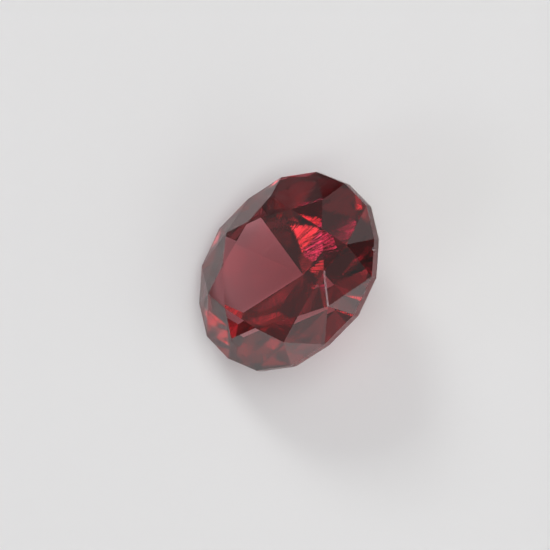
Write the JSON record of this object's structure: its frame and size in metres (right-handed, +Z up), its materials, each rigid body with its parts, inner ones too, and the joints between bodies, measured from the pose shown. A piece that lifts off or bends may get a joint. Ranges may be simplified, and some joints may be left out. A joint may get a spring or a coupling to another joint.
{
  "type": "oval cut zircon",
  "caption": "Loose faceted red gemstone of oval outline with a large table, a thin girdle and a pointed culet, lying on one pavilion facet.",
  "frame": {"origin": "on the surface that the stone lies on, under the middle of its bounding box", "axes": "+Z up from that surface; +X along the stone's long axis as seen from above, towards its raised end"},
  "size_m": [0.0092, 0.0072, 0.0062],
  "materials": {
    "zircon": "polished, transparent dark red"
  },
  "bodies": {
    "root": {"stone": "zircon"}
  },
  "joints": []
}
